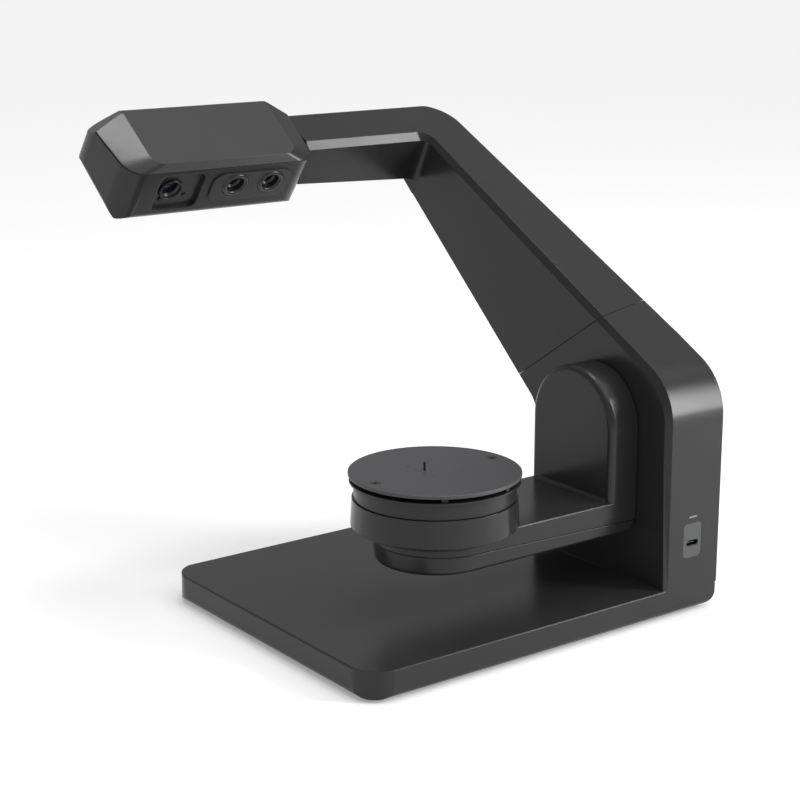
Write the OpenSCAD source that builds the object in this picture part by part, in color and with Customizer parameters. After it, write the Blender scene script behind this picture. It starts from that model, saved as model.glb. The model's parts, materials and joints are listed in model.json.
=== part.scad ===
// Desktop 3-D scanner: a swing arm with a turntable under a raised camera and projector head.
// X runs along the base towards the column, Y from the port side to the far side, Z up.

/* [Base] */
// Length of the base, column included
base_len = 256.8; // [250:0.1:268]
// Width of the base
base_wid = 208.5; // [200:0.1:216]
// Height of the base shell
base_h = 16.2; // [15.5:0.1:18]
// Radius of the two free corners of the base
base_corner = 19; // [12:0.5:24]
// Rounding of the lower edges of the base
base_edge = 4; // [3:0.5:5]
// Rounding of the lower end edge beside the column
end_edge = 10.8; // [8:0.1:12]
// Rounding of the upper edges of the base
top_edge = 1.2; // [0.6:0.1:2]
// Wall of every moulded cover
wall = 2.4; // [2:0.1:2.8]
// Thickness of the steel bottom plate
plate_t = 2; // [1.5:0.1:2.5]
// Height of the rubber feet
foot_h = 1.8; // [1.5:0.1:3]
// Diameter of a rubber foot
foot_d = 16; // [12:0.5:18]

/* [Column and neck] */
// Width of the column strip
strip_wid = 41.2; // [40.8:0.1:42]
// Depth of the column
col_dep = 117; // [114:0.5:120]
// Height above the base of the corner where the two strips would meet
bend_h = 121.4; // [120:0.1:123]
// Radius of that bend
bend_r = 37; // [30:0.5:40]
// Slope of the upper strip
slope = 28.72; // [28:0.01:29.5]
// Length of the sloping strip, bend corner to back edge
strip_len = 295.4; // [293:0.1:298]
// Height above the base at which the underside leaves the column
under_h = 89.7; // [86:0.1:93]
// Thickness of the arm at the neck
arm_t = 34.4; // [33:0.1:35]
// Thickness of the arm at the head
arm_end_t = 29.8; // [28:0.1:31]
// Width of the arm strip
arm_wid = 33.8; // [33:0.1:35]
// Distance that the outer side draws in towards the top
neck_draft = 11.4; // [9:0.1:13]
// Outer corner radius between neck and arm
arm_corner = 24; // [18:0.5:26]
// Inner corner radius between neck and arm
arm_inner = 5.8; // [5:0.1:7]
// Rounding of the back edges of the arm
back_edge = 5; // [3:0.5:7]
// Depth of the chamfer beside the strip
chamfer = 4.2; // [3.5:0.1:5]
// Width of the chamfer along the neck
neck_chamfer = 2.3; // [1.8:0.1:3]
// Depth of the chamfer at the foot of the column
foot_chamfer = 0.8; // [0.6:0.1:1.2]
// Place on the strip where the two covers part
seam_s = 69.3; // [66:0.1:74]
// Parting gap between covers
seam_gap = 0.3; // [0.2:0.05:0.5]

/* [Head] */
// Right end of the head, from the base end
head_right = 120.3; // [118:0.1:122]
// Length of the head along its front edge
head_len = 131.2; // [129:0.1:133]
// Depth of the head, front to back
head_dep = 54.7; // [53.5:0.1:56]
// Thickness of the head at the back
head_back_t = 31; // [30.5:0.1:32]
// Thickness of the head at the front
head_front_t = 44.8; // [44:0.1:46]
// Tilt of the head
head_tilt = 38; // [37:0.1:39]
// Distance of the front top edge in front of the back edge of the arm
head_ahead = 39.6; // [38:0.1:41]
// Drop of the front top edge below the back edge of the arm
head_below = 20.1; // [19:0.1:21]
// Height of the bevel round the top of the head
bevel_h = 4.6; // [4.2:0.1:5]
// Depth of the front bevel
bevel_d = 3.6; // [3:0.1:4.5]
// Depth of the back bevel
back_bevel = 4.9; // [4:0.1:6]
// Width of the long left chamfer
left_chamfer = 15.8; // [14:0.1:18]
// Width of the right chamfer
right_chamfer = 14; // [12:0.1:16]
// Draft of the left end, front to back
left_draft = 9.1; // [8:0.1:11]
// Radius of the left corners
left_corner = 14.8; // [13:0.1:16]
// Radius of the front right corner
right_corner = 12.5; // [10:0.1:13]
// Radius of the front corners of the top face
top_corner = 8.5; // [6:0.1:10]
// Turn of the facet that cuts the back left corner
facet_turn = 35.2; // [33:0.1:38]
// Lean of that facet
facet_lean = 39; // [36:0.1:42]
// Distance of the projector recess below the bevel
recess_top = 2.4; // [2.3:0.1:3]
// Distance of the camera window below the bevel
window_top = 4.6; // [4:0.1:6]
// Size of the camera window frame
window = [54.7, 22]; // [20:0.1:56]
// Size of the projector recess
recess = [30.8, 28.5]; // [27:0.1:31]
// Distance between the two camera axes
camera_pitch = 25; // [23:0.1:26]
// Diameter of a camera lens barrel
camera_d = 13; // [12:0.1:14]
// Diameter of the projector lens barrel
projector_d = 15; // [13:0.1:16]

/* [Swing arm] */
// Place of the tilt axis from the port side
axis_y = 60.6; // [59:0.1:62]
// Height of the tilt axis above the base
tilt_h = 92.8; // [92:0.1:95]
// Half width of the swing arm
swing_r = 35.4; // [34.5:0.1:36.5]
// Thickness of the swing arm
swing_t = 20.8; // [20.4:0.1:21.6]
// Clearance between base and swing arm
swing_gap = 31.2; // [30:0.1:32]
// Outer corner radius of the swing arm
swing_corner = 9; // [6:0.5:10]
// Rounding of the front edge of the arch
arch_edge = 3.8; // [3:0.1:4.5]
// Running gap between swing arm and column
side_gap = 1; // [0.8:0.1:1.6]
// Diameter of the tilt shaft
tilt_d = 12; // [10:0.5:13]
// Distance from the back of the arch to the turntable axis
reach = 123; // [120:0.1:125]

/* [Turntable] */
// Radius of the fixture disc
disc_r = 49.3; // [48.9:0.1:50]
// Thickness of the fixture disc
disc_t = 2.1; // [1.8:0.1:2.4]
// Open gap under the fixture disc
disc_gap = 2.5; // [2:0.1:3]
// Radius of the platter rim
lip_r = 48.7; // [48:0.1:48.8]
// Thickness of the platter rim
lip_t = 1.2; // [1:0.1:1.6]
// Radius of the lighter ring under the rim
ring_r = 46.2; // [45.5:0.1:46.6]
// Height of the lighter ring
ring_h = 9; // [8:0.1:9.6]
// Radius of the fixed cup at its top
cup_r = 47.2; // [47:0.1:47.6]
// Draft of the cup
cup_draft = 0.9; // [0.5:0.1:1.2]
// Height of the cup above the swing arm
cup_h = 15.4; // [15:0.1:16.5]
// Distance that the cup reaches down beside the swing arm
cup_drop = 5.4; // [4.5:0.1:6]
// Diameter of the turntable spindle
spindle_d = 8; // [7:0.5:9]
// Diameter of the upright fixture pin
pin_d = 1.4; // [1.2:0.1:1.6]
// Height that the pin stands above the disc
pin_h = 5; // [3:0.1:6]

/* [Drives] */
// Radius of a driven pulley
driven_r = 15; // [14:0.5:16]
// Radius of a motor pulley
drive_r = 6; // [5.5:0.1:6.5]
// Distance between tilt axis and tilt motor axis
tilt_centres = 52; // [48:0.5:54]
// Distance between turntable axis and turntable motor axis
spin_centres = 62; // [60:0.5:64]
// Width of a drive belt
belt_w = 4; // [3.5:0.1:4.2]
// Thickness of a drive belt
belt_t = 1.3; // [1.1:0.1:1.4]
// Side of the square tilt motor
motor_w = 35; // [32:0.5:36]
// Length of the tilt motor
motor_len = 17; // [15:0.5:18]
// Diameter of the flat turntable motor
flat_motor_d = 35; // [32:0.5:36]

/* [Port] */
// Size of the port plate
port = [14.4, 20.6]; // [14:0.1:21]
// Size of the data socket
socket = [8.94, 3.26]; // [3.2:0.01:9]
// Size of the light bar
light = [6.4, 0.9]; // [0.8:0.1:7]

/* [Hidden] */
$fn = 72;
// Overrun of every cut, running fit and free clearance
cut = 0.5;
fit = 0.05;
clear = 0.3;
thin = 0.05;
arc_steps = 10;

// Levels and places that follow from the driving sizes
top_z = foot_h + base_h;
strip_x = base_len - strip_wid;
wall_x = strip_x - neck_chamfer;
bend_z = top_z + bend_h;
bend_tangent = bend_r * tan((90 - slope) / 2);
arm_front = strip_len - arm_wid;
back_top = [strip_len * cos(slope), bend_z + strip_len * sin(slope)];
back_low = back_top + arm_t * [sin(slope), -cos(slope)];
under_low = [col_dep, top_z + under_h];
under_angle = atan2(back_low[1] - under_low[1], back_low[0] - under_low[0]);
axis_z = top_z + tilt_h;
arch_back = wall_x - side_gap;
arch_front = arch_back - swing_t;
disc_x = arch_back - reach;
arm_low = top_z + swing_gap;
arm_top = arm_low + swing_t;
cup_top = arm_top + cup_h;
lip_z = cup_top + clear + ring_h;
disc_z = lip_z + lip_t + disc_gap;
head_left = head_right - head_len;
head_y = back_top[0] - head_ahead;
bevel_set = 2;
lens_u = bevel_set - bevel_d;
back_u = lens_u + head_dep;

// Drive places
spine_t = 4;
spine_in = 20.3;
pulley_in = 1;
spine_x = wall_x + wall + spine_in;
pulley_flange = 0.8;
pulley_w = belt_w + 2 * (clear + pulley_flange);
tilt_pulley_x = spine_x + spine_t + pulley_in;
shaft_end = tilt_pulley_x + pulley_w;
spin_pulley_z = arm_low + wall + pulley_in;
bearing_w = 5;
bearing_wide = 6;
flat_motor_h = 8;

// A unit vector, and a polygon with each corner rounded by its own radius
function unit(v) = v / norm(v);
function corner_arc(a, b, c, r) =
    let (p = unit(a - b), q = unit(c - b), half = acos(p * q) / 2,
        mid = b + unit(p + q) * r / sin(half), from = b + p * r / tan(half) - mid,
        start = atan2(from[1], from[0]), sweep = -sign(cross(p, q)) * (180 - 2 * half))
    [for (i = [0 : arc_steps]) let (t = start + sweep * i / arc_steps) mid + r * [cos(t), sin(t)]];
function at(list, i) = list[(i + len(list)) % len(list)];
function rounded(points, radii) = [for (i = [0 : len(points) - 1])
    each radii[i] > 0 ? corner_arc(at(points, i - 1), points[i], at(points, i + 1), radii[i])
        : [points[i]]];

// A polygon drawn in by d, and the radii that go with it, with a hollow corner marked by a minus
function inset(points, d) = [for (i = [0 : len(points) - 1])
    let (p = unit(at(points, i - 1) - points[i]), q = unit(at(points, i + 1) - points[i]))
    points[i] - (p + q) * d / cross(p, q)];
function inner(radii, d) = [for (r = radii) r < 0 ? d - r : max(r - d, 0)];
function outline(points, radii, d) = rounded(inset(points, d), inner(radii, d));
function rect(w, h) = [[0, 0], [w, 0], [w, h], [0, h]];

// Extrusions along the other two axes
module along_x(x, length) translate([x, 0, 0]) rotate([90, 0, 90]) linear_extrude(length) children();
module along_y(y, length) translate([0, y + length, 0]) rotate([90, 0, 0]) linear_extrude(length)
    children();
module rounded_bar(size, r, t) translate([-size[0] / 2, -size[1] / 2, 0]) linear_extrude(t)
    polygon(rounded(rect(size[0], size[1]), [r, r, r, r]));

// Frames of the strip, of the head and of the two drives
module on_strip() translate([0, 0, bend_z]) rotate([slope, 0, 0]) children();
module on_head() translate([0, head_y, back_top[1] - head_below]) rotate([head_tilt, 0, 0]) children();
module on_face(x, drop) on_head() translate([x, lens_u, -bevel_h - drop]) rotate([90, 0, 0])
    children();
module on_tilt_axis(x) translate([x, axis_y, axis_z]) rotate([0, 90, 0]) children();
module on_tilt_motor(x) translate([x, axis_y, axis_z - tilt_centres]) rotate([0, 90, 0]) children();
module on_turntable(z) translate([disc_x, axis_y, z]) children();
module stand() translate([-mid_x, -mid_y, 0]) children();

// Solid of the base, drawn in by d
module base_solid() intersection() {
    linear_extrude(top_z) polygon(rounded(rect(base_len, base_wid),
        [base_corner, top_edge, top_edge, base_corner]));
    along_y(0, base_wid) translate([0, foot_h]) polygon(rounded(rect(base_len, base_h),
        [base_edge, end_edge, 0, top_edge]));
    along_x(0, base_len) translate([0, foot_h]) polygon(rounded(rect(base_wid, base_h),
        [base_edge, base_edge, top_edge, top_edge]));
}

// Room inside the base, open below
base_room = [[base_edge + wall, base_edge + wall], [base_len - end_edge - wall, base_edge + wall],
    [base_len - end_edge - wall, base_wid - base_edge - wall],
    [base_edge + wall, base_wid - base_edge - wall]];
module base_cavity(gap, z, h) translate([0, 0, z]) linear_extrude(h)
    polygon(outline(base_room, [base_corner - base_edge, base_edge, base_edge,
        base_corner - base_edge], gap));

// Solid of the column, neck and arm, drawn in by d
neck_side = [[0, top_z - wall], [col_dep, top_z - wall], under_low, back_low, back_top, [0, bend_z]];
neck_side_r = [0, 0, -bend_r / 2, back_edge, back_edge / 2, bend_r];
strip_plan = [[wall_x, -bend_z], [base_len, -bend_z], [base_len, bend_tangent * 2],
    [base_len - neck_draft, strip_len], [head_right, strip_len], [head_right, arm_front],
    [wall_x, arm_front]];
strip_plan_r = [0, 0, 0, arm_corner, 0, 0, -arm_inner];
module neck_solid(d) difference() {
    intersection() {
        along_x(head_right - cut, base_len + cut) polygon(outline(neck_side, neck_side_r, d));
        on_strip() translate([0, 0, -bend_z - col_dep]) linear_extrude(bend_z + col_dep + cut)
            polygon(outline(strip_plan, strip_plan_r, d));
    }
    on_strip() translate([wall_x + d, -bend_z, d - arm_t])
        rotate([0, atan((arm_t - arm_end_t) / (wall_x - head_right)), 0])
        translate([-base_len, 0, -bend_z]) cube([base_len, bend_z + strip_len + cut, bend_z]);
}

// The chamfer between strip and inner wall: one solid that sweeps its section from the foot of the
// column round the bend, up the neck and round the inner corner to the end of the arm
chamfer_r = arm_inner + chamfer;
chamfer_over = 0.25;
bend_centre = [bend_r, bend_z - bend_tangent];
strip_normal = [0, -sin(slope), cos(slope)];
function on_slope(p, w) = [p[0], p[1] * cos(slope), bend_z + p[1] * sin(slope)] + w * strip_normal;
function cut_rim(low, high, normal) =
    let (a = low + chamfer_over * (low - high), b = high + chamfer_over * (high - low))
    [a, b, a + normal * ((b - a) * normal)];
function turned(t) = [cos(t), sin(t)];
chamfer_rims = concat(
    [cut_rim([wall_x, foot_chamfer, top_z - wall - cut], [strip_x, 0, top_z - wall - cut], [0, -1, 0])],
    [for (i = [0 : arc_steps]) let (t = 180 - i * (90 - slope) / arc_steps,
        p = bend_centre + bend_r * turned(t), q = p - chamfer * turned(t))
        cut_rim([wall_x, q[0], q[1]], [strip_x, p[0], p[1]], [0, cos(t), sin(t)])],
    [for (i = [0 : arc_steps]) let (u = turned(90 * i / arc_steps))
        cut_rim(on_slope([wall_x - arm_inner, arm_front - arm_inner] + arm_inner * u, -chamfer),
            on_slope([strip_x - chamfer_r, arm_front + chamfer - chamfer_r] + chamfer_r * u, 0),
            strip_normal)],
    [cut_rim(on_slope([head_right - cut, arm_front], -chamfer),
        on_slope([head_right - cut, arm_front + chamfer], 0), strip_normal)]);
last_rim = 3 * (len(chamfer_rims) - 1);
module chamfer_cut() polyhedron([for (rim = chamfer_rims) each rim], concat([[2, 1, 0]],
    [for (i = [0 : 3 : last_rim - 3], j = [0 : 2]) let (k = (j + 1) % 3)
        each [[i + j, i + k, i + j + 3], [i + k, i + k + 3, i + j + 3]]],
    [[last_rim, last_rim + 1, last_rim + 2]]));

// The parting plane of the two covers, with the upper side of it filled
seam_pitch = -33.7;
seam_yaw = -10.4;
module above_seam(gap) translate([wall_x, seam_s * cos(slope), bend_z + seam_s * sin(slope)])
    rotate([seam_pitch, 0, 0]) rotate([0, seam_yaw, 0]) translate([-base_len, -base_len, gap])
    cube([2 * base_len, 2 * base_len, 2 * base_len]);

boss_d = 7;
screw_d = 3;
screw_pilot = screw_d + 2 * fit;
plate_screw_places = [for (x = [base_corner, base_len / 2, strip_x - boss_d], y = [base_corner,
    base_wid - base_corner]) [x, y]];
port_shift = 1;
port_rise = 27.9;
socket_rise = 26;
light_rise = 42.2;
port_x = strip_x + strip_wid / 2 - port_shift;
port_z = top_z + port_rise;
socket_z = top_z + socket_rise;
light_z = top_z + light_rise;
port_post_y = 9;
post_out = [1, 4, 8];
port_posts = [[port_x - port[0] / 2 - post_out[0], port_z - port[1] / 2 - post_out[1]],
    [port_x + port[0] / 2 + post_out[0], port_z + port[1] / 2 + post_out[2]]];

module lower_housing() stand() color([0.13, 0.13, 0.14]) {
    difference() {
        union() {
            base_solid();
            difference() {
                neck_solid(0);
                above_seam(-seam_gap / 2);
                chamfer_cut();
            }
        }
        base_cavity(0, foot_h - cut, base_h - wall + cut);
        neck_solid(wall);
        translate([wall_x + wall, wall, top_z - wall - cut])
            cube([strip_wid + neck_chamfer - 2 * wall, col_dep - 2 * wall, wall + 2 * cut]);
        on_tilt_axis(wall_x - cut) cylinder(d = tilt_d + 2, h = wall + 2 * cut);
        translate([port_x, wall + cut, port_z]) rotate([90, 0, 0])
            rounded_bar(port + [fit, fit], wall, wall + 2 * cut);
        translate([port_x, wall + cut, light_z]) rotate([90, 0, 0])
            rounded_bar(light + [fit, fit], light[1] / 3, wall + 2 * cut);
    }
    for (p = plate_screw_places) translate([p[0], p[1], foot_h + plate_t]) difference() {
        cylinder(d = boss_d, h = base_h - plate_t - wall + cut);
        translate([0, 0, -cut]) cylinder(d = screw_pilot, h = base_h - plate_t - wall);
    }
    for (p = port_posts) translate([p[0], port_post_y, p[1]]) rotate([90, 0, 0])
        cylinder(d = screw_d, h = port_post_y - wall + cut);
}

module base_plate() stand() color("dimgray") difference() {
    base_cavity(clear / 2, foot_h, plate_t);
    for (p = plate_screw_places) translate([p[0], p[1], foot_h - cut])
        cylinder(d = screw_pilot + clear, h = plate_t + 2 * cut);
    for (p = plate_screw_places) translate([p[0], p[1], foot_h - cut])
        cylinder(d1 = 2 * screw_d + 2 * cut + clear, d2 = screw_d, h = screw_d / 2 + cut);
}

module foot_place() for (x = [base_corner + foot_d, strip_x - foot_d / 2],
    y = [base_corner + foot_d / 2, base_wid - base_corner - foot_d / 2])
    translate([x, y, 0]) children();
module rubber_feet() stand() color("black") foot_place() rotate_extrude()
    polygon([[0, 0], [foot_d / 2 - foot_h / 3, 0], [foot_d / 2, foot_h / 3], [foot_d / 2, foot_h],
        [0, foot_h]]);

// A countersunk screw with its head downwards and a hexagon socket
module flat_screw(d, length) rotate_extrude() polygon([[0, d / 4], [d / 3, d / 4], [d / 3, 0],
    [d, 0], [d / 2, d / 2], [d / 2, length], [0, length]]);
module plate_screws() stand() color("silver") for (p = plate_screw_places)
    translate([p[0], p[1], foot_h]) flat_screw(screw_d, base_h / 2);

// Beam that carries the head, in the frame of the strip
beam = [18, 16];
beam_from = 5;
beam_drop = 8;
module arm_beam(x0, x1, gap) on_strip() translate([x0, arm_front + beam_from - gap,
    -beam_drop - beam[1] - gap]) cube([x1 - x0, beam[0] + 2 * gap, beam[1] + 2 * gap]);

// Panel in the underside of the neck
panel_from = 38;
panel_len = 120;
panel_side = 8;
panel_wid = strip_wid - neck_draft - panel_side;
module under_side(x, y) translate([x, under_low[0], under_low[1]]) rotate([under_angle, 0, 0])
    translate([0, y, 0]) children();
module panel_shape(gap, z, t) under_side(wall_x + panel_side - gap, panel_from - gap)
    translate([0, 0, z]) linear_extrude(t) polygon(rounded(rect(panel_wid + 2 * gap, panel_len + 2 * gap),
        [wall, wall, wall, wall]));
panel_screw_in = 4;
module panel_screw_places() for (x = [panel_screw_in, panel_wid - panel_screw_in],
    y = [panel_screw_in, panel_len - panel_screw_in])
    under_side(wall_x + panel_side + x, panel_from + y) children();

module upper_cover() stand() color([0.13, 0.13, 0.14]) {
    difference() {
        intersection() {
            neck_solid(0);
            above_seam(seam_gap / 2);
        }
        neck_solid(wall);
        chamfer_cut();
        arm_beam(head_right - cut, wall_x, 2 * cut);
        panel_shape(fit, -cut, wall + 3 * cut);
    }
    intersection() {
        difference() {
            panel_shape(wall, 0, 2 * wall);
            panel_shape(fit, -cut, wall + cut);
            panel_shape(-2 * panel_screw_in, -cut, 3 * wall);
            panel_screw_places() cylinder(d = screw_pilot, h = 3 * wall);
        }
        neck_solid(wall / 2);
    }
}

module neck_back_panel() stand() color([0.11, 0.11, 0.12]) difference() {
    panel_shape(0, 0, wall - fit);
    panel_screw_places() translate([0, 0, -cut]) cylinder(d = screw_pilot, h = 2 * wall);
    panel_screw_places() translate([0, 0, -cut])
        cylinder(d1 = 2 * screw_d + 2 * cut + clear, d2 = screw_d, h = screw_d / 2 + cut);
}

module panel_screws() stand() color("silver") panel_screw_places() flat_screw(screw_d, 2 * wall - fit);

// Cast frame inside column, neck and arm
bearing_od = 2 * tilt_d;
spine_inset = 14;
seat_in = 4;
pilot_d = 22;
motor_shaft_d = 5;
module spine_frame() stand() color([0.62, 0.63, 0.65]) difference() {
    union() {
        along_x(spine_x, spine_t) polygon(outline(neck_side, neck_side_r, spine_inset));
        translate([spine_x, spine_inset, foot_h + plate_t])
            cube([spine_t, col_dep - 2 * spine_inset, base_h + spine_inset]);
        translate([wall_x + wall + clear, spine_inset, foot_h + plate_t])
            cube([spine_x - wall_x - wall, col_dep - 2 * spine_inset, spine_t]);
        on_tilt_axis(wall_x + wall + clear)
            cylinder(d = bearing_od + 2 * spine_t, h = spine_x - wall_x - wall);
        arm_beam(head_right - beam_in, spine_x + spine_t / 2, 0);
    }
    on_tilt_axis(wall_x) cylinder(d = tilt_d + spine_t, h = strip_wid);
    on_tilt_axis(wall_x + wall) cylinder(d = bearing_od + 2 * fit, h = clear + bearing_w);
    on_tilt_axis(spine_x + spine_t - bearing_w) cylinder(d = bearing_od + 2 * fit, h = strip_wid);
    on_tilt_motor(spine_x - cut) cylinder(d = pilot_d + 2 * fit, h = spine_t + 2 * cut);
    on_tilt_motor(spine_x - cut) motor_holes() cylinder(d = screw_d, h = spine_t + 2 * cut);
}
beam_in = 7;
module motor_holes() for (x = [-1, 1], y = [-1, 1])
    translate([x * (motor_w / 2 - seat_in), y * (motor_w / 2 - seat_in), 0]) children();

// Stepping motor of the tilt drive
module tilt_motor() stand() color([0.25, 0.25, 0.27]) difference() {
    union() {
        on_tilt_motor(spine_x - motor_len) intersection() {
            rounded_bar([motor_w, motor_w], seat_in / 2, motor_len);
            cylinder(d = motor_w * sqrt(2) - seat_in, h = motor_len);
        }
        on_tilt_motor(spine_x) cylinder(d = pilot_d, h = spine_t / 2);
    }
    on_tilt_motor(spine_x - motor_len / 2) cylinder(d = motor_shaft_d + 2 * clear, h = motor_len);
    for (x = [spine_x - motor_len + seat_in, spine_x - seat_in]) on_tilt_motor(x) difference() {
        rounded_bar([motor_w + cut, motor_w + cut], seat_in, thin + cut);
        rounded_bar([motor_w - 2 * cut, motor_w - 2 * cut], seat_in, thin + cut);
    }
}

// Flanged belt pulley with a bored hub, and the belt that runs over two of them
module pulley(r, bore) rotate_extrude() polygon([[bore / 2, 0], [r + belt_t + clear, 0],
    [r + belt_t + clear, pulley_flange / 2], [r, pulley_flange], [r, pulley_w - pulley_flange],
    [r + belt_t + clear, pulley_w - pulley_flange / 2], [r + belt_t + clear, pulley_w],
    [bore / 2, pulley_w]]);
function loop(r1, r2, d) = let (a = acos((r1 - r2) / d), n = 4 * arc_steps)
    concat([for (i = [0 : n]) let (t = a + (360 - 2 * a) * i / n) r1 * [cos(t), sin(t)]],
        [for (i = [0 : n]) let (t = -a + 2 * a * i / n) [d, 0] + r2 * [cos(t), sin(t)]]);
module belt(d) translate([0, 0, pulley_flange + clear]) linear_extrude(belt_w) difference() {
    polygon(loop(driven_r + clear + belt_t, drive_r + clear + belt_t, d));
    polygon(loop(driven_r + clear, drive_r + clear, d));
}

// Shielded ball bearing
race = 1.6;
module ball_bearing(id, od, w) rotate_extrude() difference() {
    translate([id / 2 + fit, 0]) square([od / 2 - id / 2 - fit, w]);
    for (z = [-clear, w - clear]) translate([id / 2 + race, z])
        square([od / 2 - id / 2 - 2 * race, 2 * clear]);
}

module tilt_belt() stand() color("black") on_tilt_axis(tilt_pulley_x) belt(tilt_centres);
module tilt_bearings() stand() color("silver") {
    on_tilt_axis(wall_x + wall + clear) ball_bearing(tilt_d, bearing_od, bearing_w);
    on_tilt_axis(spine_x + spine_t - bearing_w) ball_bearing(tilt_d, bearing_od, bearing_w);
}
module tilt_motor_pulley() stand() color([0.75, 0.75, 0.77]) {
    on_tilt_motor(tilt_pulley_x) pulley(drive_r, 0);
    on_tilt_motor(spine_x - motor_len / 2 + clear)
        cylinder(d = motor_shaft_d, h = tilt_pulley_x - spine_x + motor_len / 2 - clear);
}
module tilt_shaft() stand() color("silver") on_tilt_axis(arch_front + wall)
    cylinder(d = tilt_d, h = shaft_end - arch_front - wall);
module tilt_pulley() stand() color([0.75, 0.75, 0.77]) on_tilt_axis(tilt_pulley_x)
    pulley(driven_r, tilt_d + 2 * fit);

// Cross-sections of arm and arch, drawn in by d, and the solid that they sweep round nose and top
edge_r = 2.4;
tray_draft = 1.2;
part_rise = 11.5;
part_fall = 1.67;
cup_cone = [10.5, 5];
arm_section = [[tray_draft - swing_r, arm_low], [swing_r - tray_draft, arm_low],
    [swing_r, arm_low + part_rise], [swing_r, arm_top], [-swing_r, arm_top],
    [-swing_r, arm_low + part_rise]];
arm_section_r = [edge_r, edge_r, 0, edge_r / 2, edge_r / 2, 0];
arch_section = [[-swing_r, arch_front], [swing_r, arch_front], [swing_r, arch_back],
    [-swing_r, arch_back]];
arch_section_r = [arch_edge, arch_edge, 0, 0];
arch_z = arm_low + part_rise + edge_r;
cup_foot = arm_top - cup_drop;
cup_wide = cup_r + cup_draft;
cup_section = [[cup_cone[0] - cup_wide, cup_foot], [cup_wide - cup_cone[0], cup_foot],
    [cup_wide, cup_foot + cup_cone[1]], [cup_r, cup_top], [-cup_r, cup_top],
    [-cup_wide, cup_foot + cup_cone[1]]];
cup_section_r = [0, 0, 0, 0, 0, 0];
module half_section(points, radii, d) intersection() {
    polygon(outline(points, radii, d));
    square([base_len, base_len]);
}
module swing_solid(d) difference() {
    union() {
        on_turntable(0) rotate([0, 0, 90]) rotate_extrude(angle = 180)
            half_section(arm_section, arm_section_r, d);
        translate([0, axis_y, 0]) along_x(disc_x, reach - d)
            polygon(outline(arm_section, arm_section_r, d));
        translate([0, axis_y, axis_z]) rotate([0, 90, 0]) rotate([0, 0, 90])
            rotate_extrude(angle = 180) half_section(arch_section, arch_section_r, d);
        translate([0, axis_y, arch_z]) linear_extrude(axis_z - arch_z) mirror([1, -1])
            polygon(outline(arch_section, arch_section_r, d));
    }
    along_y(0, base_wid) difference() {
        translate([arch_back - swing_corner, arm_low + d - cut])
            square([swing_corner - d + cut, swing_corner - d + cut]);
        translate([arch_back - swing_corner, arm_low + swing_corner]) circle(swing_corner - d);
    }
}
module above_part(gap) translate([disc_x - swing_r, 0, arm_low + part_rise]) rotate([0, part_fall, 0])
    translate([-cut, 0, gap]) cube([base_len, base_wid, base_len]);

tray_screw_shares = [[-0.74, 0], [0.7, -0.7], [0.7, 0.7]];
far_screw_share = 0.62;
tray_screws_at = concat(swing_r * tray_screw_shares, [for (side = [-1, 1])
    [reach - swing_t - 0.75 * boss_d, side * far_screw_share * swing_r]]);
module tray_screw_places(z) for (p = tray_screws_at) translate([disc_x + p[0], axis_y + p[1], z])
    children();
module tray_bosses() for (p = tray_screws_at)
    translate([disc_x + p[0], axis_y + p[1], arm_low + wall + clear]) cylinder(d = boss_d,
        h = swing_t - 2 * wall - clear + cut + (norm(p) < cup_r - wall ? cup_h : 0));
spin_bearing_od = 2.75 * spindle_d;
boss_rise = 1.2;
boss_z = spin_pulley_z + pulley_w + boss_rise;

module swing_arm() stand() color([0.12, 0.12, 0.13]) {
    difference() {
        union() {
            intersection() {
                swing_solid(0);
                above_part(seam_gap / 2);
            }
            on_turntable(0) rotate_extrude() half_section(cup_section, cup_section_r, 0);
            along_y(axis_y - swing_r + arch_edge, 2 * (swing_r - arch_edge)) difference() {
                translate([arch_front - edge_r, arm_top - edge_r / 2])
                    square([edge_r + cut, edge_r + edge_r / 2]);
                translate([arch_front - edge_r, arm_top + edge_r]) circle(edge_r);
            }
        }
        swing_solid(wall);
        on_turntable(0) rotate_extrude() half_section(cup_section, cup_section_r, wall);
        on_turntable(cup_top - 2 * wall) cylinder(d = spin_bearing_od + 2 * fit, h = 3 * wall);
        on_tilt_axis(arch_back - 2 * wall) cylinder(d = tilt_d + 2 * fit, h = 3 * wall);
    }
    on_turntable(boss_z) difference() {
        cylinder(d = spin_bearing_od + 2 * wall, h = cup_top - boss_z);
        translate([0, 0, -cut]) cylinder(d = spin_bearing_od - 2 * race, h = cup_top - boss_z + 2 * cut);
        translate([0, 0, -cut]) cylinder(d = spin_bearing_od + 2 * fit, h = bearing_wide + cut);
        translate([0, 0, cup_top - boss_z - bearing_wide])
            cylinder(d = spin_bearing_od + 2 * fit, h = bearing_wide + cut);
    }
    on_tilt_axis(arch_front + wall) difference() {
        cylinder(d = tilt_d + 2 * wall, h = swing_t - wall);
        cylinder(d = tilt_d + 2 * fit, h = swing_t);
    }
    difference() {
        tray_bosses();
        tray_screw_places(arm_low + wall) cylinder(d = screw_pilot, h = swing_t / 2);
    }
}

module swing_tray() stand() color([0.12, 0.12, 0.13]) difference() {
    swing_solid(0);
    above_part(-seam_gap / 2);
    swing_solid(wall);
    tray_screw_places(arm_low - cut) cylinder(d = screw_pilot + clear, h = 2 * wall);
    tray_screw_places(arm_low - cut)
        cylinder(d1 = 2 * screw_d + 2 * cut + clear, d2 = screw_d, h = screw_d / 2 + cut);
}
module tray_screws() stand() color("silver") tray_screw_places(arm_low) flat_screw(screw_d, swing_t / 2);

module spindle_bearings() stand() color("silver") for (z = [boss_z, cup_top - bearing_wide])
    on_turntable(z) ball_bearing(spindle_d, spin_bearing_od, bearing_wide);

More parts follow.
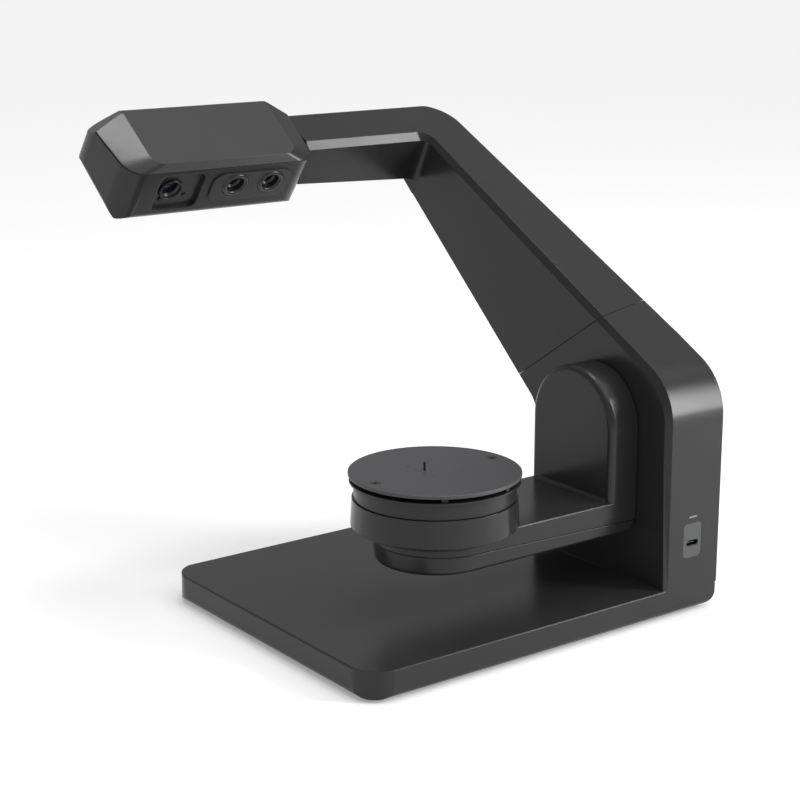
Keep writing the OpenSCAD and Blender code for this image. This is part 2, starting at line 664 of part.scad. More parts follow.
// Flat motor of the turntable drive, under the top wall of the swing arm
flat_motor_z = arm_top - wall - flat_motor_h;
module spin_motor() stand() color([0.25, 0.25, 0.27]) on_turntable(flat_motor_z)
    translate([spin_centres, 0, 0]) difference() {
        cylinder(d = flat_motor_d, h = flat_motor_h);
        translate([0, 0, -cut]) cylinder(d = motor_shaft_d + 2 * clear, h = flat_motor_h / 2 + cut);
        for (z = [flat_motor_h / 3, flat_motor_h * 2 / 3]) translate([0, 0, z]) difference() {
            cylinder(d = flat_motor_d + cut, h = cut);
            cylinder(d = flat_motor_d - cut, h = cut);
        }
    }
module spin_belt() stand() color("black") on_turntable(spin_pulley_z) belt(spin_centres);
module spin_motor_pulley() stand() color([0.75, 0.75, 0.77]) on_turntable(spin_pulley_z)
    translate([spin_centres, 0, 0]) {
        pulley(drive_r, 0);
        cylinder(d = motor_shaft_d, h = flat_motor_z - spin_pulley_z + flat_motor_h / 2 - clear);
    }

module spindle() stand() color("silver") on_turntable(spin_pulley_z)
    cylinder(d = spindle_d, h = lip_z + lip_t - spin_pulley_z);
module spindle_pulley() stand() color([0.75, 0.75, 0.77]) on_turntable(spin_pulley_z)
    pulley(driven_r, spindle_d + 2 * fit);

disc_screw_share = 0.842;
module disc_screw_places(z) for (x = [-1, 1])
    on_turntable(z) translate([x * disc_screw_share * disc_r, 0, 0]) children();

module platter() stand() color([0.3, 0.3, 0.32]) difference() {
    on_turntable(cup_top + clear) rotate_extrude() polygon([[spindle_d / 2 + fit, 0],
        [spindle_d, 0], [spindle_d, ring_h - wall], [ring_r - 2 * wall, ring_h - wall],
        [ring_r - wall, ring_h - 2 * wall], [ring_r - wall, 0], [ring_r, 0], [ring_r, ring_h],
        [lip_r, ring_h], [lip_r, ring_h + lip_t], [spindle_d / 2 + fit, ring_h + lip_t]]);
    disc_screw_places(cup_top + clear) cylinder(d = screw_pilot, h = ring_h + lip_t + cut);
}

// Two pairs of spacers between platter and disc
spacer = 3.6;
spacer_sides = [-95, 85];
spacer_turns = [-26, 26];
spacer_in_share = 1.4;
module disc_spacers() stand() color([0.2, 0.2, 0.2]) for (side = spacer_sides, turn = spacer_turns)
    on_turntable(lip_z + lip_t) rotate([0, 0, side + turn])
        translate([lip_r - spacer_in_share * spacer, -spacer / 2, 0]) cube([spacer, spacer, disc_gap]);

// Fixture disc with two countersunk screws, small peg holes and one upright pin
hole_shares = [[-0.166, 0.3], [-0.172, -0.162], [0.25, -0.185]];
pin_share = [-0.105, 0.057];
module fixture_disc() stand() color([0.42, 0.42, 0.43]) difference() {
    on_turntable(disc_z) rotate_extrude() polygon([[0, 0], [disc_r - clear, 0], [disc_r, clear],
        [disc_r, disc_t - clear], [disc_r - clear, disc_t], [0, disc_t]]);
    disc_screw_places(disc_z - cut) cylinder(d = screw_pilot, h = disc_t + 2 * cut);
    disc_screw_places(disc_z + disc_t - screw_d / 2)
        cylinder(d1 = screw_d, d2 = 2 * screw_d + 2 * cut + clear, h = screw_d / 2 + cut);
    for (s = concat(hole_shares, [pin_share])) on_turntable(disc_z - cut)
        translate([s[0] * disc_r, s[1] * disc_r, 0]) cylinder(d = pin_d + 2 * fit, h = disc_t + 2 * cut);
}
module disc_screws() stand() color("silver") disc_screw_places(disc_z + disc_t) mirror([0, 0, 1])
    flat_screw(screw_d, disc_t + disc_gap + lip_t);
module fixture_pin() stand() color("silver") on_turntable(disc_z)
    translate([pin_share[0] * disc_r, pin_share[1] * disc_r, 0]) cylinder(d = pin_d, h = disc_t + pin_h);

// Solid of the head, drawn in by d: outline of the walls, outline of the top face, a loft between
// the two, the section that shapes the underside and the facet across the back left corner
head_far_left = head_left - left_draft - cut;
under_front_r = 6;
under_back_r = 9;
head_side = [[lens_u, -head_front_t], [back_u, -head_back_t], [back_u, cut], [lens_u, cut]];
head_side_r = [under_front_r, under_back_r, 0, 0];
head_plan = [[head_left, lens_u], [head_right - seam_gap, lens_u], [head_right - seam_gap, back_u],
    [head_left - left_draft, back_u]];
head_plan_r = [left_corner, right_corner, 1, left_corner];
top_left = head_left + left_chamfer;
top_right = head_right - right_chamfer;
top_back = back_u - back_bevel;
top_draft = 1.2;
top_back_r = 3;
head_top = [[top_left + top_draft, bevel_set], [top_right, bevel_set], [top_right, top_back],
    [top_left, top_back]];
head_top_r = [top_corner, top_corner, top_back_r, top_back_r];
bevel_in_share = 0.5;
facet_in = 0.6;

// The object stands centred on the origin, between the ends that reach furthest out
mid_x = (base_len + min([for (p = outline(head_plan, head_plan_r, 0)) p[0]])) / 2;
mid_y = (head_y + max([for (p = outline(head_side, head_side_r, 0))
    p[0] * cos(head_tilt) - p[1] * sin(head_tilt)])) / 2;
function raised(points, w) = [for (p = points) [p[0], p[1], w]];
module loft(rings) {
    n = len(rings[0]);
    last = n * (len(rings) - 1);
    polyhedron([for (ring = rings) each ring], concat([[for (i = [0 : n - 1]) i]],
        [for (i = [0 : n : last - n], j = [0 : n - 1]) let (k = (j + 1) % n)
            each [[i + j, i + j + n, i + k + n], [i + j, i + k + n, i + k]]],
        [[for (i = [n - 1 : -1 : 0]) last + i]]));
}
module head_solid(d) on_head() difference() {
    intersection() {
        along_x(head_far_left, head_right - head_far_left + cut)
            polygon(outline(head_side, head_side_r, d));
        loft([raised(outline(head_plan, head_plan_r, d), -head_front_t - cut),
            raised(outline(head_plan, head_plan_r, d), -bevel_h - bevel_in_share * d),
            raised(outline(head_top, head_top_r, d), -d)]);
    }
    translate([top_left, top_back, 0]) rotate([0, 0, facet_turn]) rotate([facet_lean, 0, 0])
        translate([-head_len, -facet_in - d, -head_len]) cube(2 * head_len);
}
module above_crease(gap) on_head() translate([head_far_left - cut, lens_u - cut, gap - bevel_h])
    cube([head_len + 2 * left_draft, head_dep + 2 * cut, head_front_t]);
recess_share = 0.289;
window_share = 0.664;
recess_x = head_left + recess_share * head_len;
window_x = head_left + window_share * head_len;
recess_drop = recess_top + recess[1] / 2;
window_drop = window_top + window[1] / 2;
corner_r = 5;
frame_lip = 1.5;
frame_rise = 1;

module head_shell() stand() color([0.13, 0.13, 0.14]) difference() {
    head_solid(0);
    above_crease(-seam_gap / 2);
    head_solid(wall);
    on_face(recess_x, recess_drop) translate([0, 0, -wall - cut])
        rounded_bar(recess, corner_r, wall + 2 * cut);
    on_face(window_x, window_drop) translate([0, 0, -wall - cut])
        rounded_bar(window - 2 * [frame_lip, frame_lip] + 2 * [fit, fit], corner_r, wall + 2 * cut);
    arm_beam(head_right - 2 * wall, head_right + cut, 2 * cut);
}
module head_top_cover() stand() color([0.13, 0.13, 0.14]) difference() {
    intersection() {
        head_solid(0);
        above_crease(seam_gap / 2);
    }
    head_solid(wall);
}

// Lens places on the face of the head
projector_off = [-5, -1.2];
camera_off = [1.8, -1.4];
projector_at = [recess_x, recess_drop] + projector_off;
board_centre = [window_x, window_drop] + camera_off;
camera_at = [for (side = [-1, 1]) board_centre + [side * camera_pitch / 2, 0]];
optics_u = 13;
optics_t = 3;
optics_low = head_back_t + 1.5 * wall;
optics_back = optics_u + optics_t - lens_u;
optics_front = optics_u - lens_u;
barrel_wall = 1.2;

module optics_plate() stand() color([0.55, 0.56, 0.58]) difference() {
    on_head() union() {
        translate([head_left + left_corner, optics_u, -optics_low])
            cube([head_len - left_corner - beam_in, optics_t, optics_low - 1.5 * bevel_h]);
        translate([head_right - beam_in - beam[0] / 2, optics_u, -head_back_t])
            cube([beam[0] / 2, beam[0] + 2 * optics_t, beam[1] + 2 * optics_t]);
    }
    for (p = camera_at) on_face(p[0], p[1]) translate([0, 0, -optics_back - cut])
        cylinder(d = camera_d - 2 * barrel_wall, h = optics_t + 2 * cut);
    on_face(projector_at[0], projector_at[1]) translate([0, 0, -optics_back - cut])
        cylinder(d = projector_d + 2 * fit, h = optics_t + 2 * cut);
}

panel_lip = 1;
panel_screw_shares = [[-0.276, 0.407], [-0.3, -0.262], [0.211, -0.186]];
module projector_panel() stand() color([0.09, 0.09, 0.1]) difference() {
    on_face(recess_x, recess_drop) translate([0, 0, -wall - panel_lip])
        rounded_bar(recess + 2 * [panel_lip, panel_lip], corner_r, panel_lip);
    on_face(projector_at[0], projector_at[1]) translate([0, 0, -wall - panel_lip - cut])
        cylinder(d = projector_d + 2 * clear, h = 2 * panel_lip);
}
module projector_screws() stand() color("black") for (s = panel_screw_shares)
    on_face(recess_x + s[0] * recess[0], recess_drop - s[1] * recess[1])
        translate([0, 0, -wall]) cylinder(d = screw_d, h = clear + cut);

// A lens tube with stepped bore, and its front glass
module lens_tube(d, length) rotate_extrude() polygon([[d / 2 - 2 * barrel_wall, 0], [d / 2, 0],
    [d / 2, length], [d / 2 - barrel_wall, length], [d / 2 - barrel_wall, length - barrel_wall],
    [d / 2 - 2 * barrel_wall, length - 2 * barrel_wall]]);
module lens_glass(d) rotate_extrude() intersection() {
    translate([0, d / 8 - d]) circle(d);
    translate([0, -d / 8]) square([d / 2, d]);
}
glass_in = 2 * barrel_wall;
glass_set = 1;

module projector_body() stand() color([0.2, 0.2, 0.21]) on_face(projector_at[0], projector_at[1])
    translate([0, 0, -optics_back - 1.5 * projector_d]) difference() {
        rounded_bar([1.8 * projector_d, 1.5 * projector_d], barrel_wall, 1.5 * projector_d);
        for (i = [-3 : 3]) translate([i * projector_d / 5 - barrel_wall / 2, -projector_d, -cut])
            cube([barrel_wall, 2 * projector_d, projector_d / 2]);
    }
module projector_barrel() stand() color([0.15, 0.15, 0.16]) on_face(projector_at[0], projector_at[1])
    translate([0, 0, -optics_back]) lens_tube(projector_d, optics_back - glass_set);
module projector_lens() stand() color([0.1, 0.1, 0.15, 0.5]) on_face(projector_at[0], projector_at[1])
    translate([0, 0, -glass_set - 2 * glass_in]) lens_glass(projector_d - 4 * barrel_wall - 2 * fit);
module camera_frame() stand() color([0.08, 0.08, 0.09]) difference() {
    on_face(window_x, window_drop) union() {
        rounded_bar(window, corner_r + frame_lip, frame_rise);
        translate([0, 0, -wall]) rounded_bar(window - 2 * [frame_lip, frame_lip], corner_r, wall + cut);
    }
    for (p = camera_at) on_face(p[0], p[1]) {
        translate([0, 0, -wall - cut]) cylinder(d = camera_d + 2 * clear, h = 2 * wall + 2 * cut);
        translate([0, 0, frame_rise - wall]) cylinder(d = camera_d + 2 * wall, h = wall + cut);
    }
}
module camera_barrels() stand() color([0.15, 0.15, 0.16]) for (p = camera_at) on_face(p[0], p[1])
    translate([0, 0, -optics_front]) lens_tube(camera_d, optics_front - wall / 2);
module camera_lenses() stand() color([0.1, 0.1, 0.15, 0.5]) for (p = camera_at) on_face(p[0], p[1])
    translate([0, 0, -wall / 2 - 2 * glass_in]) lens_glass(camera_d - 4 * barrel_wall - 2 * fit);
board_t = 1.6;
module camera_board() stand() color([0.1, 0.3, 0.15]) {
    on_face(board_centre[0], board_centre[1]) translate([0, 0, -optics_back - board_t])
        rounded_bar([camera_pitch + 1.3 * camera_d, 1.5 * camera_d], barrel_wall, board_t);
    for (p = camera_at) on_face(p[0], p[1]) translate([0, 0, -optics_back])
        rounded_bar([camera_d / 2, camera_d / 2], fit, optics_t / 2);
}

// Control board on its standoffs in the base
board = [110, 120];
board_at = [45, 44];
board_rise = 4;
board_hole_in = 5;
board_z = foot_h + plate_t + board_rise;
// Chips and connectors as shares of the board: place, size, and height in board thicknesses
chip_shares = [[0.3, 0.35, 0.16, 0.15, 1], [0.6, 0.3, 0.1, 0.09, 0.8], [0.62, 0.6, 0.12, 0.11, 1],
    [0.15, 0.8, 0.2, 0.06, 2.4], [0.5, 0.86, 0.14, 0.06, 2.4], [0.84, 0.5, 0.06, 0.2, 2.4]];
module board_corners() for (x = [board_hole_in, board[0] - board_hole_in],
    y = [board_hole_in, board[1] - board_hole_in])
    translate([board_at[0] + x, board_at[1] + y, 0]) children();
module control_board() stand() color([0.1, 0.3, 0.15]) {
    difference() {
        translate([board_at[0], board_at[1], board_z]) cube([board[0], board[1], board_t]);
        board_corners() translate([0, 0, board_z - cut]) cylinder(d = screw_d, h = board_t + 2 * cut);
    }
    for (s = chip_shares) translate([board_at[0] + s[0] * board[0], board_at[1] + s[1] * board[1],
        board_z + board_t]) cube([s[2] * board[0], s[3] * board[1], s[4] * board_t]);
}
module board_standoffs() stand() color("gold") board_corners() translate([0, 0, foot_h + plate_t])
    difference() {
        cylinder(d = 2 * screw_d, h = board_rise);
        translate([0, 0, board_rise / 2]) cylinder(d = screw_pilot, h = board_rise);
    }

// Port plate with its socket, the light bar above it and the small board behind both
socket_deep = port_post_y - cut;
module slot_bar(size, grow, t) rounded_bar(size + 2 * [grow, grow], size[1] / 2 + grow - thin, t);
module port_plate() stand() color([0.5, 0.5, 0.52]) difference() {
    translate([port_x, wall, port_z]) rotate([90, 0, 0]) rounded_bar(port, wall, wall - fit);
    translate([port_x, wall + cut, socket_z]) rotate([90, 0, 0]) slot_bar(socket, clear, wall + 2 * cut);
}
module data_socket() stand() color("silver") translate([port_x, port_post_y, socket_z])
    rotate([90, 0, 0]) {
        difference() {
            slot_bar(socket, clear / 2, socket_deep);
            translate([0, 0, board_t]) slot_bar(socket, -clear / 2, socket_deep);
        }
        translate([-socket[0] / 3, -socket[1] / 10, 0])
            cube([socket[0] * 2 / 3, socket[1] / 5, socket_deep - pulley_in]);
    }
module status_light() stand() color([0.9, 0.95, 1]) translate([port_x, port_post_y, light_z])
    rotate([90, 0, 0]) rounded_bar(light, light[1] / 3, port_post_y - fit);
module port_board() stand() color([0.1, 0.3, 0.15])
    translate([port_posts[0][0] - screw_d, port_post_y, port_posts[0][1] - screw_d])
    cube([port_posts[1][0] - port_posts[0][0] + 2 * screw_d, board_t,
        port_posts[1][1] - port_posts[0][1] + 2 * screw_d]);

lower_housing();
base_plate();
rubber_feet();
plate_screws();
upper_cover();
neck_back_panel();
panel_screws();
spine_frame();
head_shell();
head_top_cover();
optics_plate();
projector_panel();
projector_body();
projector_barrel();
projector_lens();
projector_screws();
camera_frame();
camera_barrels();
camera_lenses();
camera_board();
control_board();
board_standoffs();
port_plate();
port_board();
data_socket();
status_light();
tilt_motor();
tilt_belt();
tilt_bearings();
tilt_motor_pulley();
tilt_shaft();
tilt_pulley();
swing_arm();
swing_tray();
tray_screws();
spindle_bearings();
spin_motor();
spin_belt();
spin_motor_pulley();
spindle();
spindle_pulley();
platter();
disc_spacers();
fixture_disc();
disc_screws();
fixture_pin();
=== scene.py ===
# %% [markdown]
# # A desktop scanner in charcoal plastic
# The scanner is a flat base with a column at one end. A neck leans out over the base and carries a
# head with a projector and two cameras. A swing arm beside the column carries a turntable. All the
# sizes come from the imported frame, so this lesson only dresses it: smooth moulded skins, lens
# parts, screws and finishes. Lengths are in metres, and those given in mm are multiplied by MM.

import json
import math

import bmesh
import bpy
from mathutils import Matrix, Vector


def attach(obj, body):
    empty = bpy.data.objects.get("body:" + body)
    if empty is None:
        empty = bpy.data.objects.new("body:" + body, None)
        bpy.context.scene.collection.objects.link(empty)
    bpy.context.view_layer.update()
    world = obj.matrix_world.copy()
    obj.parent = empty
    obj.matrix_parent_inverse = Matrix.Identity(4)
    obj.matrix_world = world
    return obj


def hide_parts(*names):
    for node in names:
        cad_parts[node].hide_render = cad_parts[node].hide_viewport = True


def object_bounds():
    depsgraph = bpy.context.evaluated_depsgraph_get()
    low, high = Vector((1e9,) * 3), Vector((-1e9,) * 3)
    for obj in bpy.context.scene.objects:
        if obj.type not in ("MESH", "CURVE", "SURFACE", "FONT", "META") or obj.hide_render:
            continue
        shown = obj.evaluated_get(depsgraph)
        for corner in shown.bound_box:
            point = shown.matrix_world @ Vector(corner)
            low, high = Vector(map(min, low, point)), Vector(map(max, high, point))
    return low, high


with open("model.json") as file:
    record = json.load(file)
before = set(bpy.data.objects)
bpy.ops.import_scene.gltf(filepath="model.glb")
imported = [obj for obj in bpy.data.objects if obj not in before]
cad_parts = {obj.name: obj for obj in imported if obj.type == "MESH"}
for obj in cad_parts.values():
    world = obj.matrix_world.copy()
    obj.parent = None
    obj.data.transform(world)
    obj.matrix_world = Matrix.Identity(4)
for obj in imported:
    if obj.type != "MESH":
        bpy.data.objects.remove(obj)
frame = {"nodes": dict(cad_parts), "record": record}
cad_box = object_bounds()
nodes = frame["nodes"]
MM = 0.001
print("nodes:", len(nodes), "box:", [round(v, 4) for v in (*cad_box[0], *cad_box[1])])

# %% [markdown]
# ## The camera
# The picture was taken from a little above the base, past its free corner, with a long lens. The
# place and the direction follow from the edges of base and column, which meet in known sizes.

# %% Camera
CAMERA_AT = Vector((-0.6463, -0.8734, 0.4030))
LOOKS_ALONG = Vector((0.57755, 0.77651, -0.25190))
camera = bpy.data.objects.new("camera", bpy.data.cameras.new("camera"))
camera.data.lens = 83.7
camera.data.sensor_width = 36
camera.data.clip_start = 0.01
camera.location = CAMERA_AT
camera.rotation_euler = LOOKS_ALONG.to_track_quat("-Z", "Y").to_euler()
bpy.context.scene.collection.objects.link(camera)
bpy.context.scene.camera = camera
print("camera at", tuple(round(v, 3) for v in camera.location))

# %% [markdown]
# ## Shader maths
# A finish is easier to read as a sum than as a list of links. A Dial is one output of a node. Adding,
# subtracting or multiplying dials adds Math nodes, also with the number first, as in 1 - mask.

# %% Dial
class Dial:
    def __init__(self, finish, socket):
        self.finish, self.socket = finish, socket

    def maths(self, operation, first, second):
        return self.finish.node("ShaderNodeMath", {"operation": operation}, {0: first, 1: second})

    def __add__(self, other):
        return self.maths("ADD", self, other)

    def __radd__(self, other):
        return self.maths("ADD", other, self)

    def __sub__(self, other):
        return self.maths("SUBTRACT", self, other)

    def __rsub__(self, other):
        return self.maths("SUBTRACT", other, self)

    def __mul__(self, other):
        return self.maths("MULTIPLY", self, other)

    def __rmul__(self, other):
        return self.maths("MULTIPLY", other, self)

    def clamped(self):
        return self.maths("MINIMUM", self.maths("MAXIMUM", self, 0.0), 1.0)


print("a Dial adds, subtracts, multiplies and clamps")

# %% [markdown]
# ## One material at a time
# A Finish holds one material and its main shader. node() makes any kind of node from its settings
# and sockets, set() feeds the shader, and blend() mixes two colours. The others are short names for
# what every recipe below shares: a noise, pebbles, a bump, a rounded edge and an edge mask, which the
# recipes use to paint a highlight along edges. The mask is found by rounding the normal: where it
# turns away from the flat one, there is an edge.

# %% Finish
class Finish:
    def __init__(self, name):
        self.material = bpy.data.materials.new(name)
        self.material.use_nodes = True
        self.tree = self.material.node_tree
        self.shader = self.tree.nodes["Principled BSDF"]
        self.output = self.tree.nodes["Material Output"]

    def feed(self, socket, value):
        if isinstance(value, Dial):
            self.tree.links.new(value.socket, socket)
        elif socket.type == "RGBA":
            socket.default_value = (*value, 1.0) if len(value) == 3 else value
        else:
            socket.default_value = value

    def node(self, kind, settings=(), sockets=(), output=0):
        made = self.tree.nodes.new(kind)
        for key, value in dict(settings).items():
            setattr(made, key, value)
        for key, value in dict(sockets).items():
            self.feed(made.inputs[key], value)
        return Dial(self, made.outputs[output])

    def set(self, **constants):
        for key, value in constants.items():
            self.feed(self.shader.inputs[key.replace("_", " ")], value)
        return self

    def blend(self, share, one, other):
        return self.node("ShaderNodeMix", {"data_type": "RGBA"},
                         {0: share, 6: one, 7: other}, output=2)

    def place(self):
        return self.node("ShaderNodeTexCoord", output="Object")

    def noise(self, scale, detail=3.0, roughness=0.55, at=None):
        return self.node("ShaderNodeTexNoise", (), {
            "Vector": at or self.place(), "Scale": scale, "Detail": detail,
            "Roughness": roughness})

    def grains(self, scale, at=None):
        return self.node("ShaderNodeTexVoronoi", (), {
            "Vector": at or self.place(), "Scale": scale})

    def bump(self, height, depth, strength=1.0, normal=None):
        sockets = {"Height": height, "Distance": depth, "Strength": strength}
        if normal is not None:
            sockets["Normal"] = normal
        return self.node("ShaderNodeBump", (), sockets)

    def soft_edge(self, radius):
        return self.node("ShaderNodeBevel", {"samples": 6}, {"Radius": radius})

    def edge_mask(self, radius, gain):
        turned = self.node("ShaderNodeVectorMath", {"operation": "DOT_PRODUCT"}, {
            0: self.soft_edge(radius),
            1: self.node("ShaderNodeNewGeometry", output="Normal")}, output="Value")
        return ((1.0 - turned) * gain).clamped()


print("a Finish makes noise, pebbles, bumps, soft edges and edge masks")

# %% [markdown]
# ## Satin moulded plastic
# The covers are injection moulded in charcoal plastic with a fine, even spark-eroded grain. It is
# satin: lamps show as soft bands, and the base mirrors the column faintly. The colour drifts a
# little with the flow of the melt, the edges carry a painted highlight in a lighter colour and are a
# little glossier, and dust dulls flat areas.
# A bevel on the shading normal rounds the small edges, which costs no geometry.

# %% A recipe for plastics
def plastic(name, colour, rough, grain=0.00006, grain_size=0.0006, edge=0.0005, edge_highlight_share=0.35,
            drift=0.12, level=0.5):
    finish = Finish(name)
    flow = finish.noise(scale=9.0, detail=2.0)
    grain_field = finish.noise(scale=1.0 / grain_size, detail=2.0, roughness=0.6)
    dust = finish.noise(scale=38.0, detail=5.0, roughness=0.7)
    edges = finish.edge_mask(edge, gain=4.0)
    darker = tuple(c * (1.0 - drift) for c in colour)
    lighter = tuple(c * (1.0 + drift) for c in colour)
    base = finish.blend(flow, darker, lighter)
    # painted highlight: the edges take a lighter colour, standing in for light caught by rounded
    # edges
    edge_highlight = tuple(min(1.0, c * 1.5 + 0.004) for c in colour)
    finish.set(Base_Color=finish.blend(edges * edge_highlight_share, base, edge_highlight),
               Roughness=(rough + (dust - 0.5) * 0.1 - edges * 0.06).clamped(),
               Normal=finish.bump(grain_field, grain, strength=0.35,
                                  normal=finish.soft_edge(edge)))
    finish.set(Specular_IOR_Level=level)
    return finish.material


charcoal = plastic("charcoal_plastic", (0.024, 0.024, 0.0245), rough=0.23, level=0.28)
black_satin = plastic("black_satin_plastic", (0.014, 0.014, 0.0145), rough=0.34, edge=0.0003)
platter_grey = plastic("platter_grey", (0.022, 0.022, 0.023), rough=0.3, edge=0.0003, level=0.3)
port_grey = plastic("port_grey", (0.072, 0.074, 0.076), rough=0.42, edge=0.0003, level=0.3)
spacer_black = plastic("spacer_black", (0.008, 0.008, 0.008), rough=0.6, edge=0.0002)
print("plastics:", [m.name for m in (charcoal, black_satin, platter_grey, port_grey, spacer_black)])

# %% [markdown]
# ## Painted, turned and cast metal
# The disc is a metal plate with a matt grey coat, with a painted highlight along its rim. Screws are
# zinc plated or blackened, shafts are ground round, pulleys and the inner frame are aluminium. Turned
# parts have fine rings along their length and castings are rough, so one recipe stretches one noise
# field to suit, and lets it vary the gloss and the bump together.

# %% A recipe for metals
def metal(name, colour, rough, field_scale, depth, stretch=(1.0, 1.0, 1.0), metallic=1.0,
          edge=0.0002):
    finish = Finish(name)
    stretched = finish.node("ShaderNodeMapping", (), {"Vector": finish.place(), "Scale": stretch})
    field = finish.noise(field_scale, detail=4.0, roughness=0.6, at=stretched)
    cloud = finish.noise(scale=60.0, detail=3.0)
    darker = tuple(c * 0.86 for c in colour)
    finish.set(Base_Color=finish.blend(cloud, darker, colour),
               Roughness=(rough + (field - 0.5) * 0.16).clamped(),
               Normal=finish.bump(field, depth, strength=0.5, normal=finish.soft_edge(edge)))
    finish.set(Metallic=metallic)
    return finish.material


print("the metal recipe varies gloss and bump by one stretched field")

# %% [markdown]
# ## Coats
# Powder coat and spray paint lie as a skin of small round pebbles. The same edge mask paints a
# highlight along the edges: there a coat blends to its given rim colour, a painted highlight.

# %% A recipe for paint
def paint(name, colour, rough, pebble, depth, rim):
    finish = Finish(name)
    skin = finish.grains(1.0 / pebble)
    cloud = finish.noise(scale=25.0, detail=4.0)
    edges = finish.edge_mask(radius=0.0004, gain=3.0)
    darker = tuple(c * 0.9 for c in colour)
    coat = finish.blend(cloud, darker, colour)
    # painted highlight: the edges blend to the lighter rim colour
    finish.set(Base_Color=finish.blend(edges, coat, rim),
               Roughness=(rough + (cloud - 0.5) * 0.12 - edges * 0.1).clamped(),
               Normal=finish.bump(skin, depth, strength=0.4, normal=finish.soft_edge(0.0003)))
    return finish.material


print("the paint recipe covers pebbles with a coat and wears its rim")

# %% [markdown]
# ## The metals and coats of this scanner
# Each finish is one call of a recipe. The disc has small pebbles and a painted highlight on its rim,
# the base plate a coarse powder coat, and the motors a darker spray coat. Rings on turned parts come
# from squeezing the noise along the axis, which TURNED and GROUND do, and the lens tubes are
# anodised, so they are less metallic than bare metal.

# %% Metals and coats
TURNED = (1.0, 1.0, 14.0)
GROUND = (1.0, 1.0, 12.0)
# the rim colours below are painted highlights along the edges of each coat
disc_grey = paint("disc_grey", (0.056, 0.057, 0.060), rough=0.5, pebble=0.0004, depth=0.00003,
                  rim=(0.22, 0.22, 0.225))
powder_black = paint("powder_black", (0.022, 0.022, 0.023), rough=0.55, pebble=0.0008,
                     depth=0.00008, rim=(0.05, 0.05, 0.05))
motor_black = paint("motor_black", (0.03, 0.03, 0.033), rough=0.45, pebble=0.0009,
                    depth=0.00005, rim=(0.08, 0.08, 0.08))
zinc = metal("zinc_steel", (0.42, 0.42, 0.43), rough=0.34, field_scale=900.0, depth=0.00002)
ground_steel = metal("ground_steel", (0.5, 0.5, 0.51), rough=0.24, field_scale=300.0,
                     depth=0.00001, stretch=GROUND)
turned_aluminium = metal("turned_aluminium", (0.68, 0.69, 0.7), rough=0.3, field_scale=260.0,
                         depth=0.00002, stretch=TURNED)
cast_aluminium = metal("cast_aluminium", (0.58, 0.59, 0.6), rough=0.5, field_scale=700.0,
                       depth=0.00008)
brass = metal("turned_brass", (0.72, 0.53, 0.25), rough=0.28, field_scale=260.0, depth=0.00002,
              stretch=TURNED)
dark_screw = metal("dark_screw", (0.06, 0.06, 0.062), rough=0.36, field_scale=900.0, depth=0.00002)
black_anodised = metal("black_anodised", (0.03, 0.03, 0.032), rough=0.3, field_scale=400.0,
                       depth=0.00002, metallic=0.6)
print("coats:", [m.name for m in (disc_grey, powder_black, motor_black)])
print("metals:", [m.name for m in (zinc, ground_steel, turned_aluminium, cast_aluminium, brass,
                                   dark_screw, black_anodised)])

# %% [markdown]
# ## Rubber, boards, glass and light
# Belts and feet are dull black rubber. The boards carry green solder mask over a faint weave and
# copper tracks, drawn by a brick pattern. The lenses are dark coated glass: almost black with a
# blue gleam. The light bar is a milky strip.

# %% The other finishes
def rubber(name, colour):
    finish = Finish(name)
    bloom = finish.noise(scale=70.0, detail=5.0, roughness=0.7)
    finish.set(Base_Color=finish.blend(bloom, tuple(c * 0.7 for c in colour), colour),
               Roughness=(0.7 + (bloom - 0.5) * 0.2).clamped(),
               Normal=finish.bump(finish.noise(scale=1400.0), depth=0.00006, strength=0.5))
    return finish.material


def board(name):
    finish = Finish(name)
    tracks = finish.node("ShaderNodeTexBrick", {"offset": 0.37, "squash": 1.4}, {
        "Vector": finish.place(), "Scale": 160.0, "Mortar Size": 0.06}, output="Fac")
    weave = finish.noise(scale=2600.0, detail=1.0)
    mask = finish.blend(weave, (0.008, 0.06, 0.025), (0.012, 0.085, 0.036))
    finish.set(Base_Color=finish.blend(tracks * 0.7, mask, (0.03, 0.16, 0.06)),
               Roughness=0.3 + weave * 0.1,
               Normal=finish.bump(tracks, depth=0.00004, strength=0.6))
    return finish.material


def lens(name, colour, gleam):
    finish = Finish(name)
    veil = finish.noise(scale=120.0, detail=2.0)
    finish.set(Base_Color=finish.blend(veil, colour, tuple(c * 1.3 for c in colour)),
               Roughness=0.04 + veil * 0.04)
    finish.set(Coat_Weight=1.0, Coat_Roughness=0.02, Coat_Tint=gleam, IOR=1.6)
    return finish.material


def diffuser(name):
    finish = Finish(name)
    cloud = finish.noise(scale=900.0, detail=2.0)
    finish.set(Base_Color=finish.blend(cloud, (0.17, 0.175, 0.18), (0.24, 0.245, 0.25)),
               Roughness=0.3 + cloud * 0.1)
    return finish.material


belt_rubber = rubber("belt_rubber", (0.02, 0.02, 0.02))
foot_rubber = rubber("foot_rubber", (0.024, 0.024, 0.024))
green_board = board("green_board")
coated_glass = lens("coated_glass", (0.012, 0.016, 0.03), gleam=(0.75, 0.8, 1.0))
milky_bar = diffuser("milky_bar")
print("others:", [m.name for m in (belt_rubber, foot_rubber, green_board, coated_glass, milky_bar)])
